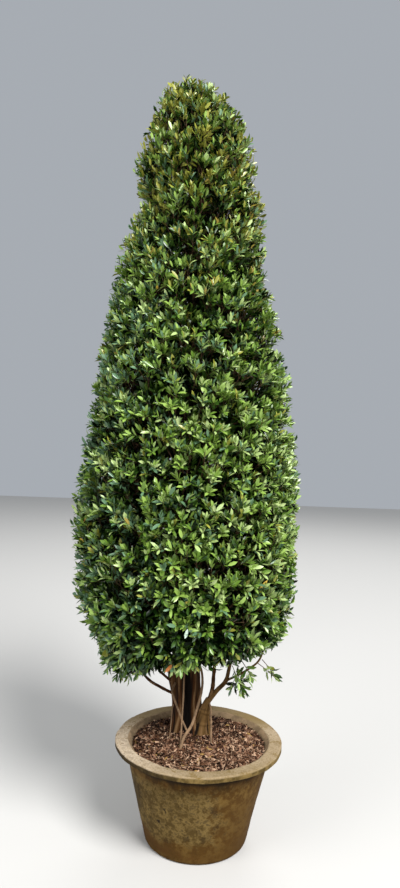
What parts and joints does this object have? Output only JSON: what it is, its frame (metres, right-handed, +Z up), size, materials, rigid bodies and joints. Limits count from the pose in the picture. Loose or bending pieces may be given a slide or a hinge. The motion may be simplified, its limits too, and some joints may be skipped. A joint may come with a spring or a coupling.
{
  "type": "potted ficus cone topiary",
  "caption": "Clipped evergreen cone on a short fluted trunk with aerial roots, growing in a round wide-rimmed cement pot.",
  "frame": {"origin": "centre of the pot's flat underside", "axes": "+Z up along the pot's axis, -Y towards the side that the picture shows, +X to the right there"},
  "size_m": [0.8158, 0.8195, 2.8075],
  "materials": {
    "cement": "hand-cast cement, weathered, with algae and rust-brown stains",
    "litter": "dry leaf litter and bark chips over soil",
    "bark": "fluted grey-brown bark with reddish and olive parts",
    "root": "smooth pale aerial roots",
    "foliage": "glossy pointed evergreen leaves in many greens"
  },
  "bodies": {
    "root": {"pot": "cement", "soil_fill": "litter", "trunk": "bark", "side_stem": "bark", "bough_side_upright": "bark", "bough_side_outer": "bark", "bough_right_low": "bark", "bough_low_spur": "bark", "bough_left": "bark", "bough_left_inner": "bark", "aerial_root_front": "root", "aerial_root_crossing": "root", "aerial_root_hanging": "root", "aerial_root_right": "root", "aerial_root_left": "root", "crown": "foliage", "low_spray_right": "foliage"}
  },
  "joints": []
}
